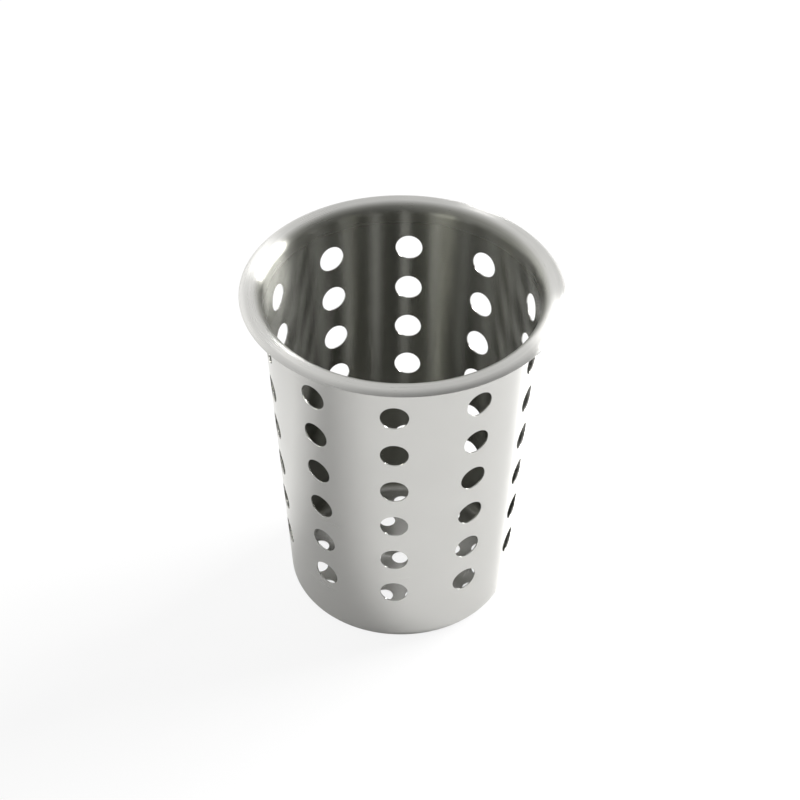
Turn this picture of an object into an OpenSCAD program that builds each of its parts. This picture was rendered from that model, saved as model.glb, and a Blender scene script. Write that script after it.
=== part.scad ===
// Round standing basket of perforated steel sheet. Its wall widens upward to a flared lip.
// Three formed sheets meet edge to edge: the floor pan, the wall and the lip collar.
// A narrow weld fills each joint between them, and one more closes the rolled wall.

/* [Basket] */
// Height from the table to the top of the lip
basket_h = 139.5; // [110:0.5:180]
// Outer diameter of the wall's slant, carried up to the top of the lip
mouth_d = 102.5; // [94:0.1:130]
// Outer diameter of the wall's slant, carried down to the table
foot_d = 86.7; // [80:0.1:110]
// Thickness of the steel sheet
sheet = 0.5; // [0.4:0.05:0.8]

/* [Wall holes] */
// Diameter of a hole in the wall
hole_d = 10.3; // [6:0.1:12]
// Number of columns of holes round the wall
columns = 10; // [6:1:14]
// Number of holes in a column
rows = 6; // [2:1:6]
// Height of the lowest hole's centre above the table
low_hole_z = 28; // [18:0.1:34]
// Distance from the highest hole's centre up to the top of the lip
high_hole_drop = 18.9; // [16:0.1:30]

/* [Lip] */
// Distance that the lip's edge stands out past the wall's slant
lip_reach = 7.75; // [7.6:0.05:20]
// Radius of the bend from the wall out to the lip, on its upper side
lip_bend = 4.3; // [3:0.1:4.8]
// Radius of the turn from the level lip down to its edge, on its upper side
lip_turn = 3; // [1.5:0.1:3.5]
// Angle that the sheet has turned down from level at its edge
lip_fall = 58; // [30:1:80]
// Distance from the top of the lip down to the middle of the collar's weld
collar_h = 8; // [7:0.5:9]

/* [Floor] */
// Outer radius of the corner between the floor and the wall
corner = 4.5; // [2:0.1:5]
// Height of the floor's underside over the foot ring that it stands on
floor_rise = 0.6; // [0.2:0.1:1.5]
// Width of the flat foot ring inside the corner
foot_w = 1.3; // [0.8:0.1:1.6]
// Width of the sloping step from the foot ring up to the floor
step_w = 0.9; // [0.5:0.1:1.2]
// Distance from the table up to the middle of the pan's weld
pan_h = 10; // [8:0.5:12]
// Diameter of a hole in the floor
drain_d = 6.5; // [4:0.1:7]
// Number of rings of floor holes round the middle hole
drain_rings = 3; // [1:1:3]
// Number of holes in the first ring, and how many more each further ring has
ring_holes = 6; // [4:1:7]
// Distance from the centres of the outer ring's holes to the edge of the raised floor
drain_edge = 4.1; // [4:0.1:8]
// Angle of the floor's holes against the columns in the wall
drain_turn = 2; // [0:1:30]

/* [Welds] */
// Width of a weld, which is ground flush with the sheet
weld_w = 1.2; // [0.8:0.1:1.6]

/* [Hidden] */
$fn = 96;
// Short lines that make up a quarter of each bend in an outline
quarter_steps = 12;
// Overrun of a cutting tool past the sheet
cut = sheet;
// Angle between the wall and the upright
slant = atan((mouth_d - foot_d) / (2 * basket_h));
// Thickness of the slanting sheet, measured level
level_sheet = sheet / cos(slant);
// Edges of the joints, from the table up
pan_top_z = pan_h - weld_w / 2;
wall_low_z = pan_h + weld_w / 2;
wall_top_z = basket_h - collar_h - weld_w / 2;
collar_low_z = basket_h - collar_h + weld_w / 2;
// Distance between the holes of a column, and angle from one column to the next
row_pitch = (basket_h - high_hole_drop - low_hole_z) / (rows - 1);
column_turn = 360 / columns;
// The seam of the wall lies at the back, midway between two columns
seam_turn = (floor(columns / 2) + 0.5) * column_turn;
// Centre of the floor's corner, its radius and height
corner_bend = [outer_r(corner) - corner / cos(slant), corner];
// Radius where the foot ring ends and the step starts, and radius of the raised floor
step_r = corner_bend.x - foot_w;
floor_r = step_r - step_w;
// Distance from one ring of floor holes to the next
drain_step = (floor_r - drain_edge) / drain_rings;
// Colours of the sheets and of the welds
steel = "silver";
weld_steel = "darkgray";

// Outer and inner radius of the slanting wall at a height
function outer_r(z) = foot_d / 2 + (mouth_d - foot_d) / 2 * z / basket_h;
function inner_r(z) = outer_r(z) - level_sheet;

// Points of an arc in the outline's plane, both ends included
function arc(centre, radius, from, to) =
    let (steps = max(2, round(quarter_steps * abs(to - from) / 90)))
    [for (i = [0:steps])
        let (a = from + (to - from) * i / steps)
        [centre.x + radius * cos(a), centre.y + radius * sin(a)]];

// One turn of the plain slanting sheet between two heights
module slant_band(low, high) {
    rotate_extrude()
        polygon([
            [inner_r(low), low],
            [outer_r(low), low],
            [outer_r(high), high],
            [inner_r(high), high]
        ]);
}

// Upright slot at the wall's seam, which the seam's weld fills
module seam_slot() {
    rotate([0, 0, seam_turn])
        translate([-weld_w / 2, -mouth_d, wall_low_z])
            cube([weld_w, mouth_d, wall_top_z - wall_low_z]);
}

// Drill for one hole of the wall, square to the slanting sheet
module wall_drill(turn, z) {
    rotate([0, 0, turn])
        translate([0, -(outer_r(z) + inner_r(z)) / 2, z])
            rotate([90 + slant, 0, 0])
                cylinder(h = sheet + 2 * cut, d = hole_d, center = true);
}

// Drill for one hole of the floor
module drain_drill(radius, turn) {
    rotate([0, 0, turn])
        translate([radius, 0, floor_rise - cut])
            cylinder(h = sheet + 2 * cut, d = drain_d);
}

// Rolled and seamed wall with its columns of round holes
module wall() {
    color(steel)
        difference() {
            slant_band(wall_low_z, wall_top_z);
            seam_slot();
            for (column = [0:columns - 1])
                for (row = [0:rows - 1])
                    wall_drill(column * column_turn, low_hole_z + row * row_pitch);
        }
}

// Spun collar that flares out of the wall, runs level and turns down to its edge
module rim_collar() {
    bend = [outer_r(basket_h - lip_bend) + (lip_bend - sheet) / cos(slant), basket_h - lip_bend];
    turn = [mouth_d / 2 + lip_reach - lip_turn * sin(lip_fall), basket_h - lip_turn];
    color(steel)
        rotate_extrude()
            polygon(concat(
                [[inner_r(collar_low_z), collar_low_z]],
                arc(bend, lip_bend, 180 - slant, 90),
                arc(turn, lip_turn, 90, 90 - lip_fall),
                arc(turn, lip_turn - sheet, 90 - lip_fall, 90),
                arc(bend, lip_bend - sheet, 90, 180 - slant),
                [[outer_r(collar_low_z), collar_low_z]]
            ));
}

// Drawn pan: a floor raised on a narrow foot ring, a round corner and the start of the wall
module floor_pan() {
    color(steel)
        difference() {
            rotate_extrude()
                polygon(concat(
                    [[0, floor_rise], [floor_r, floor_rise], [step_r, 0]],
                    arc(corner_bend, corner, -90, -slant),
                    [[outer_r(pan_top_z), pan_top_z], [inner_r(pan_top_z), pan_top_z]],
                    arc(corner_bend, corner - sheet, -slant, -90),
                    [[step_r, sheet], [floor_r, floor_rise + sheet], [0, floor_rise + sheet]]
                ));
            drain_drill(0, 0);
            for (ring = [1:drain_rings])
                for (hole = [0:ring * ring_holes - 1])
                    drain_drill(
                        ring * drain_step,
                        drain_turn + (hole + (ring > 1 ? 0.5 : 0)) * 360 / (ring * ring_holes)
                    );
        }
}

// Upright weld that closes the rolled wall
module wall_seam_weld() {
    color(weld_steel)
        intersection() {
            slant_band(wall_low_z, wall_top_z);
            seam_slot();
        }
}

// Weld between the wall and the collar
module rim_weld() {
    color(weld_steel)
        slant_band(wall_top_z, collar_low_z);
}

// Weld between the floor pan and the wall
module floor_weld() {
    color(weld_steel)
        slant_band(pan_top_z, wall_low_z);
}

wall();
rim_collar();
floor_pan();
wall_seam_weld();
rim_weld();
floor_weld();
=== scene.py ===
"""Looks of a round perforated basket: brushed steel wall, flared lip, floor pan and ground welds.

Sizes are in millimetres and turns in degrees until a mesh is made, which is in metres.
Turns are counter-clockwise from +X. Depth runs from the outside of the sheet to its inside.
"""

from __future__ import annotations

import logging
import math
from abc import ABC, abstractmethod
from dataclasses import dataclass, field
from enum import Enum

import bpy
import numpy as np
from mathutils import Matrix, Vector


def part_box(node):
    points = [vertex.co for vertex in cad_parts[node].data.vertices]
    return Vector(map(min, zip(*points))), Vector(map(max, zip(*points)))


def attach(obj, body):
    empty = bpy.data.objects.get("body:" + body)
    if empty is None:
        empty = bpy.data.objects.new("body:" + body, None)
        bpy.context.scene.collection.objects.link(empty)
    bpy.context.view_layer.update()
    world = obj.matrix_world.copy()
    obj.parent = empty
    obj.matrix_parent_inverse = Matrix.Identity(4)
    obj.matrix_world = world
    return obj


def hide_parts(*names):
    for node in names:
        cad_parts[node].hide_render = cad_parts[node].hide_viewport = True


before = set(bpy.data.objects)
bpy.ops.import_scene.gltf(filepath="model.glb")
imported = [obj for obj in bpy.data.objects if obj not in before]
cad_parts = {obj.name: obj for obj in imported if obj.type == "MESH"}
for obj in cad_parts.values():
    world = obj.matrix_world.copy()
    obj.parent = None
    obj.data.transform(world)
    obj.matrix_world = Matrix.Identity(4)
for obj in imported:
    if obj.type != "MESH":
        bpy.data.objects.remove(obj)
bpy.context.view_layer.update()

MM = 0.001
FRONT = -90.0
UP = np.array([0.0, 0.0, 1.0])

log = logging.getLogger("basket")


def around(turn: np.ndarray | float) -> tuple[np.ndarray, np.ndarray]:
    """Gives the level unit vectors that point outwards and sideways at a turn.

    Args:
        turn: Angle or angles from +X, in degrees.

    Returns:
        The outward and the counter-clockwise direction, each with x, y and z last.
    """
    a = np.radians(np.asarray(turn, float))
    flat = np.zeros_like(a)
    outward = np.stack([np.cos(a), np.sin(a), flat], -1)
    sideways = np.stack([-np.sin(a), np.cos(a), flat], -1)
    return outward, sideways


class SheetMesh:
    """Collects grids of faces with their exact surface directions and makes one closed mesh."""

    MERGE = 1e-4

    def __init__(self) -> None:
        """Starts with no faces."""
        self._corners: list[np.ndarray] = []
        self._normals: list[np.ndarray] = []

    def add_grid(self, points: np.ndarray, normals: np.ndarray, closed: bool = False) -> None:
        """Adds one face between each four neighbouring points of a grid.

        Args:
            points: Rows and columns of points, in millimetres.
            normals: Surface direction at each point, or one for all of them.
            closed: Whether the last column joins the first.
        """
        normals = np.broadcast_to(normals, points.shape)
        if closed:
            points = np.concatenate([points, points[:, :1]], 1)
            normals = np.concatenate([normals, normals[:, :1]], 1)
        for grid, store in ((points, self._corners), (normals, self._normals)):
            quads = [grid[:-1, :-1], grid[:-1, 1:], grid[1:, 1:], grid[1:, :-1]]
            store.append(np.stack(quads, 2).reshape(-1, 4, 3))

    def build(self, name: str) -> bpy.types.Object:
        """Merges corners that coincide, turns every face outwards and links the object.

        Args:
            name: Name of the piece.

        Returns:
            The new object, with its mesh in metres.
        """
        corners = np.concatenate(self._corners)
        normals = np.concatenate(self._normals)
        flat = corners.reshape(-1, 3)
        _, first, merged = np.unique(
            np.round(flat / self.MERGE), axis=0, return_index=True, return_inverse=True
        )
        faces = merged.reshape(-1, 4)
        facing = np.cross(corners[:, 2] - corners[:, 0], corners[:, 3] - corners[:, 1])
        inwards = np.einsum("ij,ij->i", facing, normals.sum(1)) < 0
        faces[inwards] = faces[inwards, ::-1]
        normals[inwards] = normals[inwards, ::-1]
        mesh = bpy.data.meshes.new(name)
        mesh.from_pydata((flat[first] * MM).tolist(), [], faces.tolist())
        mesh.shade_smooth()
        mesh.normals_split_custom_set(normals.reshape(-1, 3).tolist())
        piece = bpy.data.objects.new(name, mesh)
        bpy.context.scene.collection.objects.link(piece)
        return piece


@dataclass(frozen=True)
class Run:
    """Stretch of an outline: points in radius and height, and the direction that faces out."""

    points: np.ndarray
    normals: np.ndarray

    @classmethod
    def line(cls, start: tuple[float, float], end: tuple[float, float]) -> Run:
        """Gives a straight run, which faces to the right of its way.

        Args:
            start: Radius and height where it starts.
            end: Radius and height where it ends.

        Returns:
            The run.
        """
        points = np.array([start, end], float)
        along = (points[1] - points[0]) / np.linalg.norm(points[1] - points[0])
        return cls(points, np.tile([along[1], -along[0]], (2, 1)))

    @classmethod
    def arc(
        cls, centre: tuple[float, float], radius: float, start: float, end: float, steps: int = 12
    ) -> Run:
        """Gives a round run, which faces away from its centre where it turns counter-clockwise.

        Args:
            centre: Radius and height of the arc's centre.
            radius: Radius of the arc.
            start: Angle where it starts, in degrees from the outward direction.
            end: Angle where it ends.
            steps: Number of straight pieces in it.

        Returns:
            The run.
        """
        angles = np.radians(np.linspace(start, end, steps + 1))
        spokes = np.stack([np.cos(angles), np.sin(angles)], -1)
        return cls(np.array(centre) + radius * spokes, spokes * np.sign(end - start))

    @property
    def start(self) -> tuple[float, float]:
        """First point."""
        return tuple(self.points[0])

    @property
    def end(self) -> tuple[float, float]:
        """Last point."""
        return tuple(self.points[-1])


def joined(runs: list[Run], close: bool = True) -> list[Run]:
    """Links runs with straight lines wherever one doesn't start where the last ended.

    Args:
        runs: Runs in their order round the outline.
        close: Whether the last run is linked to the first.

    Returns:
        The whole outline.
    """
    outline: list[Run] = []
    followers = runs[1:] + (runs[:1] if close else [])
    for index, run in enumerate(runs):
        outline.append(run)
        if index < len(followers) and math.dist(run.end, followers[index].start) > SheetMesh.MERGE:
            outline.append(Run.line(run.end, followers[index].start))
    return outline


def turn_outline(mesh: SheetMesh, outline: list[Run], count: int, start: float = FRONT) -> None:
    """Turns an outline once round the upright axis.

    Args:
        mesh: Mesh that gets the faces.
        outline: Runs of the outline, walked counter-clockwise.
        count: Number of steps in the turn.
        start: Turn of the first step.
    """
    outward, _ = around(start + np.arange(count) * 360 / count)
    for run in outline:
        points = run.points[:, None, :1] * outward + run.points[:, None, 1:] * UP
        normals = run.normals[:, None, :1] * outward + run.normals[:, None, 1:] * UP
        mesh.add_grid(points, normals, closed=True)


class Brush(Enum):
    """How coarse the brushing is: scratches in each metre across the grain."""

    FINE = 5200.0
    MEDIUM = 3600.0
    COARSE = 2300.0


class NodeTree:
    """Small help for node materials: adds nodes and links their sockets."""

    def __init__(self, owner: bpy.types.Material | bpy.types.World) -> None:
        """Empties the owner's node tree.

        Args:
            owner: Material or world.
        """
        owner.use_nodes = True
        self.tree = owner.node_tree
        self.tree.nodes.clear()

    def add(self, kind: str, links: dict | None = None, **settings: object) -> bpy.types.Node:
        """Adds a node.

        Args:
            kind: Type of the node, without its ShaderNode prefix.
            links: For each input, by name or number, the socket that feeds it or its value.
            settings: Values of the node's own settings.

        Returns:
            The node.
        """
        node = self.tree.nodes.new("ShaderNode" + kind)
        for name, value in settings.items():
            setattr(node, name, value)
        for key, source in (links or {}).items():
            if isinstance(source, bpy.types.NodeSocket):
                self.tree.links.new(source, node.inputs[key])
            else:
                node.inputs[key].default_value = source
        return node

    def maths(self, operation: str, *values: object) -> bpy.types.NodeSocket:
        """Adds a Math node for one, two or three values and gives its result."""
        return self.add("Math", dict(enumerate(values)), operation=operation).outputs[0]

    def blend(
        self, first: bpy.types.NodeSocket, second: bpy.types.NodeSocket, share: float
    ) -> bpy.types.NodeSocket:
        """Adds two noises up in shares.

        Args:
            first: The noise that gets the rest.
            second: The noise that gets the share.
            share: Share of the second noise.

        Returns:
            The sum.
        """
        rest = self.maths("MULTIPLY", first, 1 - share)
        return self.maths("MULTIPLY_ADD", second, share, rest)

    def by_path(self, seen: float, mirrored: float, matt: float) -> bpy.types.NodeSocket:
        """Gives a value for the camera, one for what metal and glass show and one for the rest.

        Args:
            seen: Value for rays from the camera.
            mirrored: Value for glossy and transmission rays.
            matt: Value for all other rays.

        Returns:
            The value.
        """
        path = self.add("LightPath").outputs
        mirror = self.maths("ADD", path["Is Glossy Ray"], path["Is Transmission Ray"])
        mixed = self.maths("MULTIPLY_ADD", mirror, mirrored - matt, matt)
        return self.maths("MULTIPLY_ADD", path["Is Camera Ray"], seen - matt, mixed)

    def spread(
        self, value: bpy.types.NodeSocket, low: float, high: float, darkest: float = 0.3
    ) -> bpy.types.NodeSocket:
        """Maps the middle of a noise to a range of values.

        Args:
            value: The noise.
            low: Result at and below the noise's low end.
            high: Result at and above its high end.
            darkest: The noise's low end. Its high end lies as far above the middle.

        Returns:
            The mapped value.
        """
        ends = {0: value, 1: darkest, 2: 1 - darkest, 3: low, 4: high}
        return self.add("MapRange", ends).outputs[0]


@dataclass(frozen=True)
class BrushedSteel:
    """Stainless steel that is brushed round its axis, with soft bands and faint handling marks.

    The sides that look at the axis take a darker colour, which is painted shade that stands in
    for the dark that the inside of the basket mirrors; they are also brushed deeper. A face
    counts as inside by the cosine between its direction and the way out from the axis:
    inside_from is where the inside starts and inside_full is where it is full. Marks and
    scratches are in millimetres.
    """

    name: str
    brush: Brush = Brush.MEDIUM
    colour: tuple[float, float, float] = (0.578, 0.574, 0.553)
    # Painted shade: this darker, olive grey colour on the inside stands in for the dark that the
    # inside mirrors.
    inside: tuple[float, float, float] = (0.31, 0.31, 0.28)
    contrast: float = 0.015
    roughness: float = 0.26
    roughness_swing: float = 0.02
    anisotropy: float = 1.0
    scratch_depth: float = 0.001
    scratch_detail: float = 3.0
    scratch_share: float = 0.55
    scratch_turns: float = 22.0
    relief: float = 0.08
    inside_relief: float = 0.25
    band_pitch: float = 3.2
    band_detail: float = 2.0
    smudge_size: float = 22.0
    smudge_detail: float = 3.0
    smudge_share: float = 0.5
    grain_darkest: float = 0.35
    grain_turn: float = 0.25
    inside_from: float = -0.1
    inside_full: float = -0.8

    def material(self) -> bpy.types.Material:
        """Makes the finish.

        Returns:
            A new node material.
        """
        made = bpy.data.materials.new(self.name)
        nodes = NodeTree(made)
        place = nodes.add("TexCoord").outputs["Object"]
        axes = nodes.add("SeparateXYZ", {0: place}).outputs
        radius = nodes.add(
            "VectorMath", {0: nodes.add("CombineXYZ", {0: axes[0], 1: axes[1]}).outputs[0]},
            operation="LENGTH",
        ).outputs["Value"]
        scratches = self._rings(nodes, axes, radius, self.brush.value, self.scratch_detail)
        bands = self._rings(nodes, axes, radius, 1 / (self.band_pitch * MM), self.band_detail)
        smudges = nodes.add("TexNoise", {
            "Vector": place, "Scale": 1 / (self.smudge_size * MM), "Detail": self.smudge_detail
        }).outputs["Fac"]
        grain = nodes.blend(bands, scratches, self.scratch_share)
        tone = nodes.spread(grain, 1 - self.contrast, 1 + self.contrast, self.grain_darkest)
        inward_shade_and_relief_mask = self._inward_shade_and_relief_mask(nodes, axes)
        # Painted shade: faces that look at the axis get the darker inside colour in place of the
        # dark they mirror; the same mask also deepens their brushing.
        steel = nodes.add("Mix", data_type="VECTOR")
        nodes.tree.links.new(inward_shade_and_relief_mask, steel.inputs[0])
        steel.inputs[4].default_value = self.colour
        steel.inputs[5].default_value = self.inside
        colour = nodes.add(
            "VectorMath", {0: steel.outputs[1], "Scale": tone}, operation="SCALE"
        ).outputs[0]
        worn = nodes.blend(grain, smudges, self.smudge_share)
        rough = nodes.spread(
            worn, self.roughness - self.roughness_swing, self.roughness + self.roughness_swing
        )
        ground = nodes.maths("MULTIPLY_ADD", inward_shade_and_relief_mask, self.inside_relief, self.relief)
        bump = nodes.add(
            "Bump", {"Strength": ground, "Distance": self.scratch_depth * MM, "Height": scratches}
        ).outputs[0]
        tangent = nodes.add("Tangent", direction_type="RADIAL", axis="Z").outputs[0]
        shader = nodes.add("BsdfPrincipled", {
            "Base Color": colour,
            "Metallic": 1.0,
            "Roughness": rough,
            "Anisotropic": self.anisotropy,
            "Anisotropic Rotation": self.grain_turn,
            "Normal": bump,
            "Tangent": tangent,
        })
        nodes.add("OutputMaterial", {"Surface": shader.outputs[0]})
        return made

    def _inward_shade_and_relief_mask(self, nodes: NodeTree, axes: bpy.types.NodeInputs) -> bpy.types.NodeSocket:
        """Adds a mask of the faces that look at the axis, which carries the painted shade of the
        inside and its deeper brushing.

        Args:
            nodes: Tree of the material.
            axes: Sockets of x, y and z.

        Returns:
            A value that is 1 inside the basket and 0 outside it and on the lip.
        """
        level = nodes.add("CombineXYZ", {0: axes[0], 1: axes[1]}).outputs[0]
        outward = nodes.add("VectorMath", {0: level}, operation="NORMALIZE").outputs[0]
        facing = nodes.add("TexCoord").outputs["Normal"]
        turned = nodes.add("VectorMath", {0: outward, 1: facing}, operation="DOT_PRODUCT")
        ends = {0: turned.outputs["Value"], 1: self.inside_from, 2: self.inside_full, 3: 0.0, 4: 1.0}
        return nodes.add("MapRange", ends, interpolation_type="SMOOTHSTEP").outputs[0]

    def _rings(
        self,
        nodes: NodeTree,
        axes: bpy.types.NodeInputs,
        radius: bpy.types.NodeSocket,
        density: float,
        detail: float,
    ) -> bpy.types.NodeSocket:
        """Adds a noise that is drawn out into long marks round the axis.

        Args:
            nodes: Tree of the material.
            axes: Sockets of x, y and z.
            radius: Socket of the distance from the axis.
            density: Marks in each metre across the grain.
            detail: Detail of the noise.

        Returns:
            The noise.
        """
        vector = nodes.add("CombineXYZ", {
            0: nodes.maths("MULTIPLY", axes[0], self.scratch_turns),
            1: nodes.maths("MULTIPLY", axes[1], self.scratch_turns),
            2: nodes.maths("MULTIPLY", radius, density),
        }).outputs[0]
        height = nodes.maths("MULTIPLY", axes[2], density)
        return nodes.add(
            "TexNoise", {"Vector": vector, "W": height, "Scale": 1.0, "Detail": detail},
            noise_dimensions="4D",
        ).outputs["Fac"]


@dataclass(frozen=True)
class Cone:
    """Slanting sheet that the wall, the collar, the pan and the welds share."""

    height: float
    mouth_d: float = 102.5
    foot_d: float = 86.7
    sheet: float = 0.5

    @property
    def slant(self) -> float:
        """Angle between the wall and the upright, in degrees."""
        return math.degrees(math.atan((self.mouth_d - self.foot_d) / 2 / self.height))

    @property
    def lean(self) -> tuple[float, float]:
        """Cosine and sine of the slant."""
        return math.cos(math.radians(self.slant)), math.sin(math.radians(self.slant))

    def outer_r(self, z: float) -> float:
        """Gives the outer radius at a height."""
        return self.foot_d / 2 + (self.mouth_d - self.foot_d) / 2 * z / self.height

    def section(self, z: float, depth: float) -> tuple[float, float]:
        """Gives a place in the sheet's section.

        Args:
            z: Height where the sheet's middle is crossed.
            depth: Distance into the sheet, square to it.

        Returns:
            Radius and height of the place.
        """
        upright, level = self.lean
        rise = self.sheet / 2 - depth
        middle = self.outer_r(z) - self.sheet / 2 / upright
        return middle + rise * upright, z - rise * level

    def facing(self, turn: np.ndarray | float) -> np.ndarray:
        """Gives the direction that the outside faces at a turn."""
        upright, level = self.lean
        return around(turn)[0] * upright - UP * level


@dataclass
class PunchedSheet(ABC):
    """Sheet with round holes. Each hole has a cell of faces that runs through it to the far side."""

    cone: Cone
    edge: float = 0.06
    edge_steps: int = 2
    cell_shares: tuple[float, ...] = (1.0, 0.72, 0.48, 0.3, 0.17, 0.08, 0.03)

    @abstractmethod
    def place(self, turn: np.ndarray, reach: np.ndarray, depth: float) -> np.ndarray:
        """Gives points of the sheet from their turn, their reach across the rows and their depth."""

    @abstractmethod
    def facing(self, turn: np.ndarray) -> np.ndarray:
        """Gives the direction that the outside faces at each turn."""

    @abstractmethod
    def circle(
        self, centre: tuple[float, float], radius: float, angles: np.ndarray, depth: float
    ) -> tuple[np.ndarray, np.ndarray]:
        """Gives the turn and reach of points on a circle about a hole's centre."""

    @abstractmethod
    def spokes(self, turn: float, angles: np.ndarray) -> np.ndarray:
        """Gives the directions from a hole's centre to points on its edge."""

    def punch(
        self,
        mesh: SheetMesh,
        centre: tuple[float, float],
        hole_d: float,
        border: tuple[np.ndarray, np.ndarray],
    ) -> tuple[np.ndarray, np.ndarray]:
        """Adds the faces of one cell: outside, rounded edges, bore and inside.

        Args:
            mesh: Mesh that gets the faces.
            centre: Turn and reach of the hole's centre.
            hole_d: Diameter of the hole.
            border: Turns and reaches of the points round the cell's border, which start at
                the corner of higher turn and higher reach and go counter-clockwise.

        Returns:
            The border's points outside and inside.
        """
        count = len(border[0])
        angles = np.radians(45 + np.arange(count) * 360 / count)
        inwards = -self.spokes(centre[0], angles)
        rows, normals = [], []
        stations = [(share, 0.0) for share in self.cell_shares]
        stations += [(0.0, 90 * step / self.edge_steps) for step in range(self.edge_steps + 1)]
        for side, far in ((1, 0.0), (-1, self.cone.sheet)):
            side_rows, side_normals = [], []
            for share, bend in stations:
                round_in, round_down = math.sin(math.radians(bend)), math.cos(math.radians(bend))
                radius = hole_d / 2 + self.edge * (1 - round_in)
                depth = far + side * self.edge * (1 - round_down)
                turn, reach = self.circle(centre, radius, angles, depth)
                turn = turn * (1 - share) + border[0] * share
                reach = reach * (1 - share) + border[1] * share
                side_rows.append(self.place(turn, reach, depth))
                side_normals.append(self.facing(turn) * side * round_down + inwards * round_in)
            rows += side_rows[::side]
            normals += side_normals[::side]
        mesh.add_grid(np.array(rows), np.array(normals), closed=True)
        return rows[0], rows[-1]

    @staticmethod
    def border(
        turns: list[float], reaches: list[float], steps: tuple[int, int]
    ) -> tuple[np.ndarray, np.ndarray]:
        """Gives the border of a cell from its corners.

        Args:
            turns: Turns of its four corners: high and low at the high reach, then low and high
                at the low reach.
            reaches: Its high and low reach.
            steps: Faces along each side across the turn and along the reach.

        Returns:
            Turns and reaches of the points round the border.
        """
        high, low = reaches
        corners = np.array([
            (turns[0], high), (turns[1], high), (turns[2], low), (turns[3], low), (turns[0], high)
        ])
        sides = [
            np.linspace(corners[side], corners[side + 1], steps[side % 2], endpoint=False)
            for side in range(4)
        ]
        points = np.concatenate(sides)
        return points[:, 0], points[:, 1]


@dataclass
class PerforatedWall(PunchedSheet):
    """Rolled wall with its columns of round holes."""

    low_z: float = 10.6
    top_z: float = 130.9
    hole_d: float = 10.3
    columns: int = 10
    rows: int = 6
    low_hole_z: float = 28.0
    high_hole_drop: float = 18.9
    seam_w: float = 1.2
    side_steps: int = 16

    @property
    def column_turn(self) -> float:
        """Angle from one column to the next."""
        return 360 / self.columns

    @property
    def seam_turn(self) -> float:
        """Turn of the seam, midway between two columns at the back."""
        return FRONT + (self.columns // 2 + 0.5) * self.column_turn

    def place(self, turn: np.ndarray, reach: np.ndarray, depth: float) -> np.ndarray:
        """Gives points of the wall, where reach is the height at the sheet's middle."""
        radius, z = self.cone.section(reach, depth)
        return around(turn)[0] * radius[..., None] + UP * z[..., None]

    def facing(self, turn: np.ndarray) -> np.ndarray:
        """Gives the direction that the wall's outside faces."""
        return self.cone.facing(turn)

    def circle(
        self, centre: tuple[float, float], radius: float, angles: np.ndarray, depth: float
    ) -> tuple[np.ndarray, np.ndarray]:
        """Gives the points of a circle that is drilled square to the sheet.

        Args:
            centre: Turn and height of the hole's centre.
            radius: Radius of the circle.
            angles: Angles of the points round the hole, in radians.
            depth: Depth of the circle in the sheet.

        Returns:
            Turn and height of each point.
        """
        height = centre[1] + radius * np.sin(angles) * self.cone.lean[0]
        wall_r = self.cone.section(height, depth)[0]
        return centre[0] + np.degrees(np.arcsin(radius * np.cos(angles) / wall_r)), height

    def spokes(self, turn: float, angles: np.ndarray) -> np.ndarray:
        """Gives the directions from a hole's centre to its edge, in the plane of the sheet.

        Args:
            turn: Turn of the hole's centre.
            angles: Angles of the points round the hole, in radians.

        Returns:
            One direction for each angle.
        """
        outward, sideways = around(turn)
        upright, level = self.cone.lean
        upwards = UP * upright + outward * level
        return np.cos(angles)[:, None] * sideways + np.sin(angles)[:, None] * upwards

    def half_seam(self, z: float) -> float:
        """Gives half the angle that the seam takes up at a height."""
        return math.degrees(math.asin(self.seam_w / 2 / self.cone.outer_r(z)))

    def build(self) -> bpy.types.Object:
        """Makes the wall's mesh.

        Returns:
            The wall.
        """
        mesh = SheetMesh()
        high_hole_z = self.cone.height - self.high_hole_drop
        heights = np.linspace(self.low_hole_z, high_hole_z, self.rows)
        limits = [self.low_z, *(heights[1:] + heights[:-1]) / 2, self.top_z]
        for column in range(self.columns):
            turn = FRONT + column * self.column_turn
            for row, height in enumerate(heights):
                self._cell(mesh, turn, height, limits[row:row + 2])
        return mesh.build("perforated_wall")

    def _cell(self, mesh: SheetMesh, turn: float, height: float, limits: list[float]) -> None:
        """Adds one hole with its cell, and closes the cell where the sheet ends.

        Args:
            mesh: Mesh that gets the faces.
            turn: Turn of the column.
            height: Height of the hole's centre.
            limits: Low and high end of the cell.
        """
        low, high = limits
        half = self.column_turn / 2
        after = math.isclose(turn + half, self.seam_turn)
        before = math.isclose(turn - half, self.seam_turn)
        trims = [self.half_seam(z) for z in (high, low)]
        corners = [
            turn + half - after * trims[0],
            turn - half + before * trims[0],
            turn - half + before * trims[1],
            turn + half - after * trims[1],
        ]
        steps = self.side_steps
        border = self.border(corners, [high, low], (steps, steps))
        outside, inside = self.punch(mesh, (turn, height), self.hole_d, border)
        sideways = around(self.seam_turn)[1]
        ends = {0: (high == self.top_z, UP), 1: (before, -sideways)}
        ends |= {2: (low == self.low_z, -UP), 3: (after, sideways)}
        for side, (is_end, direction) in ends.items():
            if is_end:
                picked = np.arange(side * steps, (side + 1) * steps + 1) % (4 * steps)
                mesh.add_grid(np.array([outside[picked], inside[picked]]), direction)


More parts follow.
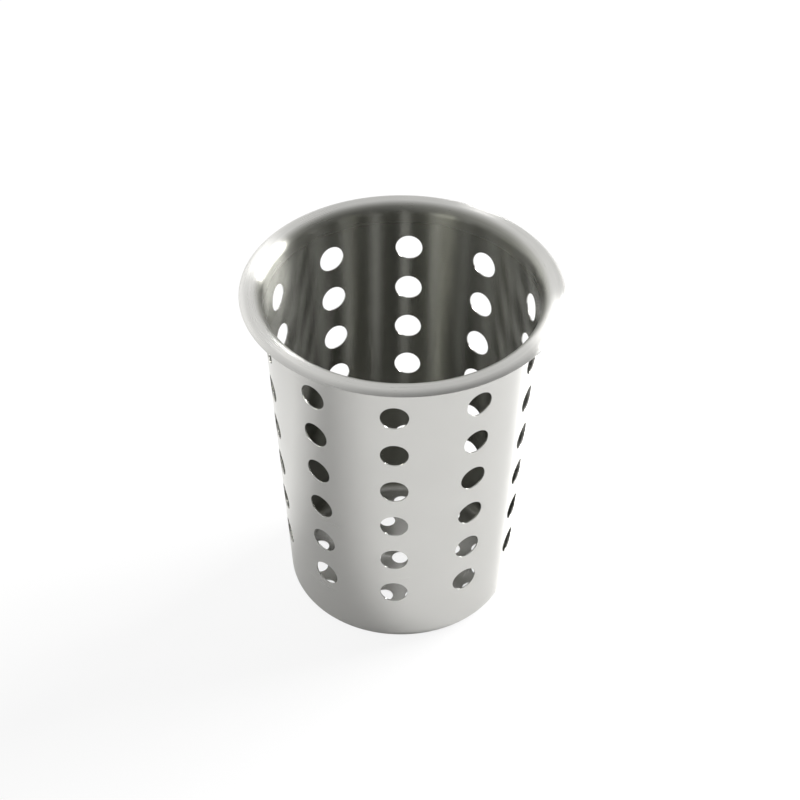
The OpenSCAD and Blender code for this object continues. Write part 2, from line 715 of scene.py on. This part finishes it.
@dataclass
class FloorPan(PunchedSheet):
    """Drawn pan: a punched floor on a narrow foot ring, a round corner and the start of the wall."""

    top_z: float = 9.4
    corner: float = 4.5
    floor_rise: float = 0.6
    foot_w: float = 1.3
    step_w: float = 0.9
    drain_d: float = 6.5
    drain_rings: int = 3
    ring_holes: int = 6
    drain_edge: float = 4.1
    drain_turn: float = 2.0
    turn_steps: int = 288
    reach_steps: int = 8

    @property
    def corner_bend(self) -> tuple[float, float]:
        """Radius and height of the corner's centre."""
        return self.cone.outer_r(self.corner) - self.corner / self.cone.lean[0], self.corner

    @property
    def floor_r(self) -> float:
        """Radius of the raised floor."""
        return self.corner_bend[0] - self.foot_w - self.step_w

    @property
    def drain_step(self) -> float:
        """Distance from one ring of holes to the next."""
        return (self.floor_r - self.drain_edge) / self.drain_rings

    def place(self, turn: np.ndarray, reach: np.ndarray, depth: float) -> np.ndarray:
        """Gives points of the floor, where reach is the distance from the axis."""
        return around(turn)[0] * reach[..., None] + UP * (self.floor_rise + depth)

    def facing(self, turn: np.ndarray) -> np.ndarray:
        """Gives the direction of the floor's underside."""
        return np.tile(-UP, (len(turn), 1))

    def circle(
        self, centre: tuple[float, float], radius: float, angles: np.ndarray, depth: float
    ) -> tuple[np.ndarray, np.ndarray]:
        """Gives the points of a circle in the floor.

        Args:
            centre: Turn of the hole's centre and its distance from the axis.
            radius: Radius of the circle.
            angles: Angles of the points round the hole, in radians.
            depth: Depth of the circle in the sheet, which doesn't move it sideways.

        Returns:
            Turn of each point and its distance from the axis.
        """
        sideways = radius * np.cos(angles)
        outward = centre[1] + radius * np.sin(angles)
        return centre[0] + np.degrees(np.arctan2(sideways, outward)), np.hypot(sideways, outward)

    def spokes(self, turn: float, angles: np.ndarray) -> np.ndarray:
        """Gives the directions from a hole's centre to its edge."""
        outward, sideways = around(turn)
        return np.cos(angles)[:, None] * sideways + np.sin(angles)[:, None] * outward

    def build(self) -> bpy.types.Object:
        """Makes the pan's mesh.

        Returns:
            The floor pan.
        """
        mesh = SheetMesh()
        self._middle_hole(mesh)
        for ring in range(1, self.drain_rings + 1):
            self._ring_of_holes(mesh, ring)
        self._corner_and_wall(mesh)
        return mesh.build("perforated_floor")

    def _ring_of_holes(self, mesh: SheetMesh, ring: int) -> None:
        """Adds one ring of holes with their cells.

        Args:
            mesh: Mesh that gets the faces.
            ring: Number of the ring, from 1 at the middle.
        """
        count = ring * self.ring_holes
        half = 180 / count
        shift = 0.5 if ring > 1 else 0.0
        last = ring == self.drain_rings
        limits = [self.floor_r if last else (ring + 0.5) * self.drain_step,
                  (ring - 0.5) * self.drain_step]
        for hole in range(count):
            turn = self.drain_turn + (hole + shift) * 360 / count
            corners = [turn + half, turn - half, turn - half, turn + half]
            border = self.border(corners, limits, (self.turn_steps // count, self.reach_steps))
            self.punch(mesh, (turn, ring * self.drain_step), self.drain_d, border)

    def _middle_hole(self, mesh: SheetMesh) -> None:
        """Adds the middle hole and the floor round it, as a turned outline.

        Args:
            mesh: Mesh that gets the faces.
        """
        radius = self.drain_d / 2
        low, high = self.floor_rise, self.floor_rise + self.cone.sheet
        reach = self.drain_step / 2
        lower = Run.arc((radius + self.edge, low + self.edge), self.edge, -90, -180, self.edge_steps)
        upper = Run.arc((radius + self.edge, high - self.edge), self.edge, 180, 90, self.edge_steps)
        runs = [Run.line((reach, high), upper.end), self._flipped(upper), self._flipped(lower)]
        outline = joined(runs + [Run.line(lower.start, (reach, low))], close=False)
        self._turn_floor(mesh, outline)

    @staticmethod
    def _flipped(run: Run) -> Run:
        """Gives a run walked backwards, which faces the other way."""
        return Run(run.points[::-1], -run.normals[::-1])

    def _turn_floor(self, mesh: SheetMesh, outline: list[Run]) -> None:
        """Turns an outline with the steps that the rings of holes have."""
        turn_outline(mesh, outline, self.turn_steps, self.drain_turn)

    def _corner_and_wall(self, mesh: SheetMesh) -> None:
        """Adds the step, the foot ring, the round corner and the short wall.

        Args:
            mesh: Mesh that gets the faces.
        """
        sheet, rise, slant = self.cone.sheet, self.floor_rise, self.cone.slant
        step_r = self.corner_bend[0] - self.foot_w
        outer = Run.arc(self.corner_bend, self.corner, -90, -slant)
        inner = Run.arc(self.corner_bend, self.corner - sheet, -slant, -90)
        top_out = self.cone.section(self.top_z, 0)
        top_in = self.cone.section(self.top_z, sheet)
        runs = [
            Run.line((self.floor_r, rise), (step_r, 0)),
            outer,
            Run.line(top_out, top_in),
            inner,
            Run.line((step_r, sheet), (self.floor_r, rise + sheet)),
        ]
        self._turn_floor(mesh, joined(runs, close=False))


@dataclass
class FlaredLip:
    """Spun collar that flares out of the wall, runs level and turns down to its edge."""

    cone: Cone
    lip_r: float
    low_z: float = 132.1
    bend: float = 4.3
    turn: float = 3.0
    fall: float = 58.0
    edge: float = 0.08
    edge_steps: int = 3
    bend_steps: int = 16
    turn_steps: int = 320

    def build(self) -> bpy.types.Object:
        """Makes the lip's mesh.

        Returns:
            The lip collar.
        """
        cone, sheet = self.cone, self.cone.sheet
        bend_z = cone.height - self.bend
        bend = (cone.outer_r(bend_z) + (self.bend - sheet) / cone.lean[0], bend_z)
        end = 90 - self.fall
        turn = (self.lip_r - self.turn * math.cos(math.radians(end)), cone.height - self.turn)
        under, over = self.turn - sheet + self.edge, self.turn - self.edge
        under_end, over_end = (end + math.degrees(math.asin(self.edge / r)) for r in (under, over))
        runs = [
            Run.line(cone.section(self.low_z, sheet), cone.section(self.low_z, 0)),
            Run.arc(bend, self.bend - sheet, 180 - cone.slant, 90),
            Run.arc(turn, self.turn - sheet, 90, under_end),
            self._edge(turn, under, under_end, under_end - 180, end - 90),
            self._edge(turn, over, over_end, end - 90, over_end),
            Run.arc(turn, self.turn, over_end, 90, self.bend_steps),
            Run.arc(bend, self.bend, 90, 180 - cone.slant, self.bend_steps),
        ]
        mesh = SheetMesh()
        turn_outline(mesh, joined(runs), self.turn_steps)
        return mesh.build("flared_lip")

    def _edge(
        self, turn: tuple[float, float], radius: float, angle: float, start: float, end: float
    ) -> Run:
        """Gives one rounded corner of the lip's edge.

        Args:
            turn: Radius and height of the turn's centre.
            radius: Distance of the corner's centre from it.
            angle: Angle of the corner's centre seen from it.
            start: Angle where the corner's arc starts.
            end: Angle where it ends.

        Returns:
            The run.
        """
        a = math.radians(angle)
        centre = turn[0] + radius * math.cos(a), turn[1] + radius * math.sin(a)
        return Run.arc(centre, self.edge, start, end, self.edge_steps)


@dataclass
class Welds:
    """Ground welds: one up the wall's seam and one round each end of the wall."""

    wall: PerforatedWall
    lip_low_z: float
    pan_top_z: float
    strip_steps: int = 4
    turn_steps: int = 320

    def build(self) -> dict[str, bpy.types.Object]:
        """Makes the three welds.

        Returns:
            Each weld under the name of the node that it stands for.
        """
        return {
            "wall_seam_weld": self._strip(),
            "rim_weld": self._band("lip_weld", self.wall.top_z, self.lip_low_z),
            "floor_weld": self._band("pan_weld", self.pan_top_z, self.wall.low_z),
        }

    def _band(self, name: str, low: float, high: float) -> bpy.types.Object:
        """Makes a weld round the basket.

        Args:
            name: Name of the piece.
            low: Height of its lower edge.
            high: Height of its upper edge.

        Returns:
            The weld.
        """
        cone = self.wall.cone
        corners = [(low, 0), (high, 0), (high, cone.sheet), (low, cone.sheet)]
        points = [cone.section(z, depth) for z, depth in corners]
        sides = [Run.line(a, b) for a, b in zip(points, points[1:] + points[:1])]
        mesh = SheetMesh()
        turn_outline(mesh, sides, self.turn_steps)
        return mesh.build(name)

    def _strip(self) -> bpy.types.Object:
        """Makes the upright weld in the wall's seam.

        Returns:
            The weld.
        """
        wall, sheet = self.wall, self.wall.cone.sheet
        heights = np.array([wall.low_z, wall.top_z])
        halves = np.array([wall.half_seam(z) for z in heights])
        across = np.linspace(-1, 1, self.strip_steps + 1)
        turns = wall.seam_turn + halves[:, None] * across
        levels = np.repeat(heights[:, None], len(across), 1)
        outside, inside = (wall.place(turns, levels, depth) for depth in (0, sheet))
        sideways = around(wall.seam_turn)[1]
        mesh = SheetMesh()
        mesh.add_grid(outside, wall.facing(turns))
        mesh.add_grid(inside, -wall.facing(turns))
        mesh.add_grid(np.array([outside[0], inside[0]]), -UP)
        mesh.add_grid(np.array([outside[1], inside[1]]), UP)
        mesh.add_grid(np.array([outside[:, 0], inside[:, 0]]), -sideways)
        mesh.add_grid(np.array([outside[:, -1], inside[:, -1]]), sideways)
        return mesh.build("seam_weld")


@dataclass
class Basket:
    """The whole basket: builds each piece, dresses it and seats it on its body."""

    body: str = "root"
    finishes: dict[str, BrushedSteel] = field(default_factory=lambda: {
        "wall_steel": BrushedSteel("brushed_wall_steel", Brush.MEDIUM),
        "lip_steel": BrushedSteel(
            "brushed_lip_steel", Brush.COARSE, (0.62, 0.616, 0.594), roughness=0.28,
            contrast=0.06, relief=0.7, scratch_turns=60.0,
        ),
        "weld_steel": BrushedSteel("ground_weld_steel", Brush.FINE),
    })

    def build(self) -> None:
        """Makes every piece in order, from the sizes that the frame gives."""
        steels = {slot: finish.material() for slot, finish in self.finishes.items()}
        low, high = (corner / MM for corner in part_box("rim_collar"))
        cone = Cone(height=high.z)
        lip = FlaredLip(cone, lip_r=min(high.x, high.y, -low.x, -low.y))
        wall = PerforatedWall(cone)
        pan = FloorPan(cone)
        self._fit(wall.build(), "wall", "wall_steel", steels)
        self._fit(pan.build(), "floor_pan", "wall_steel", steels)
        self._fit(lip.build(), "rim_collar", "lip_steel", steels)
        for node, weld in Welds(wall, lip.low_z, pan.top_z).build().items():
            self._fit(weld, node, "weld_steel", steels)

    def _fit(
        self, piece: bpy.types.Object, node: str, slot: str, steels: dict[str, bpy.types.Material]
    ) -> None:
        """Dresses a piece and puts it in the place of its node.

        Args:
            piece: The piece.
            node: Node that it stands for.
            slot: Material slot of the record that it takes its finish from.
            steels: The finish for each slot.
        """
        piece.data.materials.append(steels[slot])
        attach(piece, self.body)
        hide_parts(node)
        log.info("%s stands for %s: %d faces", piece.name, node, len(piece.data.polygons))


@dataclass(frozen=True)
class PaleFloor:
    """Matt white floor, which takes the basket's soft shadow. It glows faintly, so it looks white.

    The glow is a share of white that is seen in place of the lamps' light: one share for the
    camera and one for what metal and glass show.
    """

    colour: tuple[float, float, float, float] = (0.97, 0.97, 0.97, 1.0)
    size: float = 6.0
    drop: float = 0.05
    glow_seen: float = 0.87
    glow_mirrored: float = 0.1

    def build(self) -> bpy.types.Object:
        """Makes the floor, in metres, just below the foot ring.

        Returns:
            The floor.
        """
        half, z = self.size / 2, -self.drop * MM
        mesh = bpy.data.meshes.new("studio_floor")
        corners = [(-half, -half, z), (half, -half, z), (half, half, z), (-half, half, z)]
        mesh.from_pydata(corners, [], [(0, 1, 2, 3)])
        material = bpy.data.materials.new("matt_white")
        nodes = NodeTree(material)
        matt = nodes.add("BsdfDiffuse", {"Color": self.colour}).outputs[0]
        glow = nodes.add("Emission", {"Color": (1, 1, 1, 1), "Strength": 1.0}).outputs[0]
        share = nodes.by_path(self.glow_seen, self.glow_mirrored, 0.0)
        look = nodes.add("MixShader", {0: share, 1: matt, 2: glow}).outputs[0]
        nodes.add("OutputMaterial", {"Surface": look})
        mesh.materials.append(material)
        floor = bpy.data.objects.new("studio_floor", mesh)
        bpy.context.scene.collection.objects.link(floor)
        return floor


@dataclass(frozen=True)
class Softbox:
    """Flat lamp that faces the basket, from a turn, a climb over the floor and a distance.

    Its distance, width and height are in metres, and its power is in watts.
    """

    name: str
    turn: float
    climb: float
    distance: float
    width: float
    height: float
    power: float

    def build(self, target: Vector) -> bpy.types.Object:
        """Makes the lamp.

        Args:
            target: Point that it faces, in metres.

        Returns:
            The lamp.
        """
        climb = math.radians(self.climb)
        direction = around(self.turn)[0] * math.cos(climb) + UP * math.sin(climb)
        away = Vector(direction.tolist())
        data = bpy.data.lights.new(self.name, "AREA")
        data.shape = "RECTANGLE"
        data.size, data.size_y = self.width, self.height
        data.energy = self.power
        lamp = bpy.data.objects.new(self.name, data)
        lamp.location = target + away * self.distance
        lamp.rotation_mode = "QUATERNION"
        lamp.rotation_quaternion = away.to_track_quat("Z", "Y")
        bpy.context.scene.collection.objects.link(lamp)
        return lamp


@dataclass(frozen=True)
class Camera:
    """Camera that was fitted to the holes, the lip and the foot of the photographed basket."""

    distance: float = 0.55107
    height: float = 0.56527
    heading: float = 2.748
    pitch: float = -41.031
    yaw: float = -0.057
    roll: float = 0.492
    lens: float = 87.009

    def build(self) -> bpy.types.Object:
        """Makes the camera and makes it the scene's own.

        Returns:
            The camera.
        """
        pitch, yaw, roll = (math.radians(a) for a in (self.pitch, self.yaw, self.roll))
        ahead = Vector((
            math.sin(yaw) * math.cos(pitch), math.cos(yaw) * math.cos(pitch), math.sin(pitch)
        ))
        right = ahead.cross(Vector((0, 0, 1))).normalized()
        up = right.cross(ahead)
        level, tilt = math.cos(roll), math.sin(roll)
        columns = (right * level + up * tilt, up * level - right * tilt, -ahead)
        turned = Matrix(columns).transposed().to_4x4()
        place = Matrix.Translation((0, -self.distance, self.height))
        data = bpy.data.cameras.new("camera")
        data.lens = self.lens
        camera = bpy.data.objects.new("camera", data)
        camera.matrix_world = Matrix.Rotation(math.radians(self.heading), 4, "Z") @ place @ turned
        bpy.context.scene.collection.objects.link(camera)
        bpy.context.scene.camera = camera
        return camera


@dataclass(frozen=True)
class Surroundings:
    """Plain room: dim in front, white behind, brighter still in its back corners.

    Metal mirrors the room at its full strength, and matt surfaces get a share of it. Both get
    less from the right than from the left. The camera sees plain white.
    """

    front: float = 0.22
    back: float = 1.03
    corners: float = 1.2
    right: float = -0.25
    matt_share: float = 0.62
    matt_right: float = -0.7

    def build(self) -> bpy.types.World:
        """Makes the room.

        Returns:
            The world.
        """
        world = bpy.data.worlds.new("plain_room")
        nodes = NodeTree(world)
        direction = nodes.add("TexCoord").outputs["Generated"]
        across, depth, _ = nodes.add("SeparateXYZ", {0: direction}).outputs
        ends = {0: depth, 1: -1.0, 2: 1.0, 3: self.front, 4: self.back}
        fade = nodes.add("MapRange", ends).outputs[0]
        behind = nodes.maths("MULTIPLY", nodes.maths("MAXIMUM", depth, 0.0), self.corners)
        tilt = nodes.by_path(0.0, self.right, self.matt_right / self.matt_share)
        aside = nodes.maths("MULTIPLY_ADD", across, behind, tilt)
        room = nodes.maths("MAXIMUM", nodes.maths("MULTIPLY_ADD", across, aside, fade), 0.0)
        lit = nodes.maths("MULTIPLY", room, nodes.by_path(0.0, 1.0, self.matt_share))
        strength = nodes.maths("ADD", lit, nodes.by_path(1.0, 0.0, 0.0))
        light = nodes.add("Background", {"Color": (1, 1, 1, 1), "Strength": strength})
        nodes.add("OutputWorld", {"Surface": light.outputs[0]})
        return world


@dataclass
class Studio:
    """Pale floor, plain room, a soft key lamp at the right, a small accent lamp and the camera.

    Both lamps face a point on the basket's axis at the aim's height, in metres.
    """

    aim: float = 0.05
    floor: PaleFloor = field(default_factory=PaleFloor)
    camera: Camera = field(default_factory=Camera)
    room: Surroundings = field(default_factory=Surroundings)
    key: Softbox = field(default_factory=lambda: Softbox(
        "key_softbox", turn=34.0, climb=20.0, distance=4.0, width=2.3, height=1.2, power=405.0
    ))
    accent: Softbox = field(default_factory=lambda: Softbox(
        "accent_softbox", turn=85.0, climb=18.0, distance=4.0, width=0.2, height=0.4, power=4.5
    ))

    def build(self) -> None:
        """Makes the camera, the floor, both lamps and the room."""
        self.camera.build()
        self.floor.build()
        for lamp in (self.key, self.accent):
            lamp.build(Vector((0, 0, self.aim)))
        bpy.context.scene.world = self.room.build()
        bpy.context.scene.view_settings.view_transform = "Standard"


def main() -> None:
    """Builds the studio and the basket."""
    logging.basicConfig(level=logging.INFO, format="%(name)s: %(message)s")
    Studio().build()
    Basket().build()


if __name__ == "__main__":
    main()
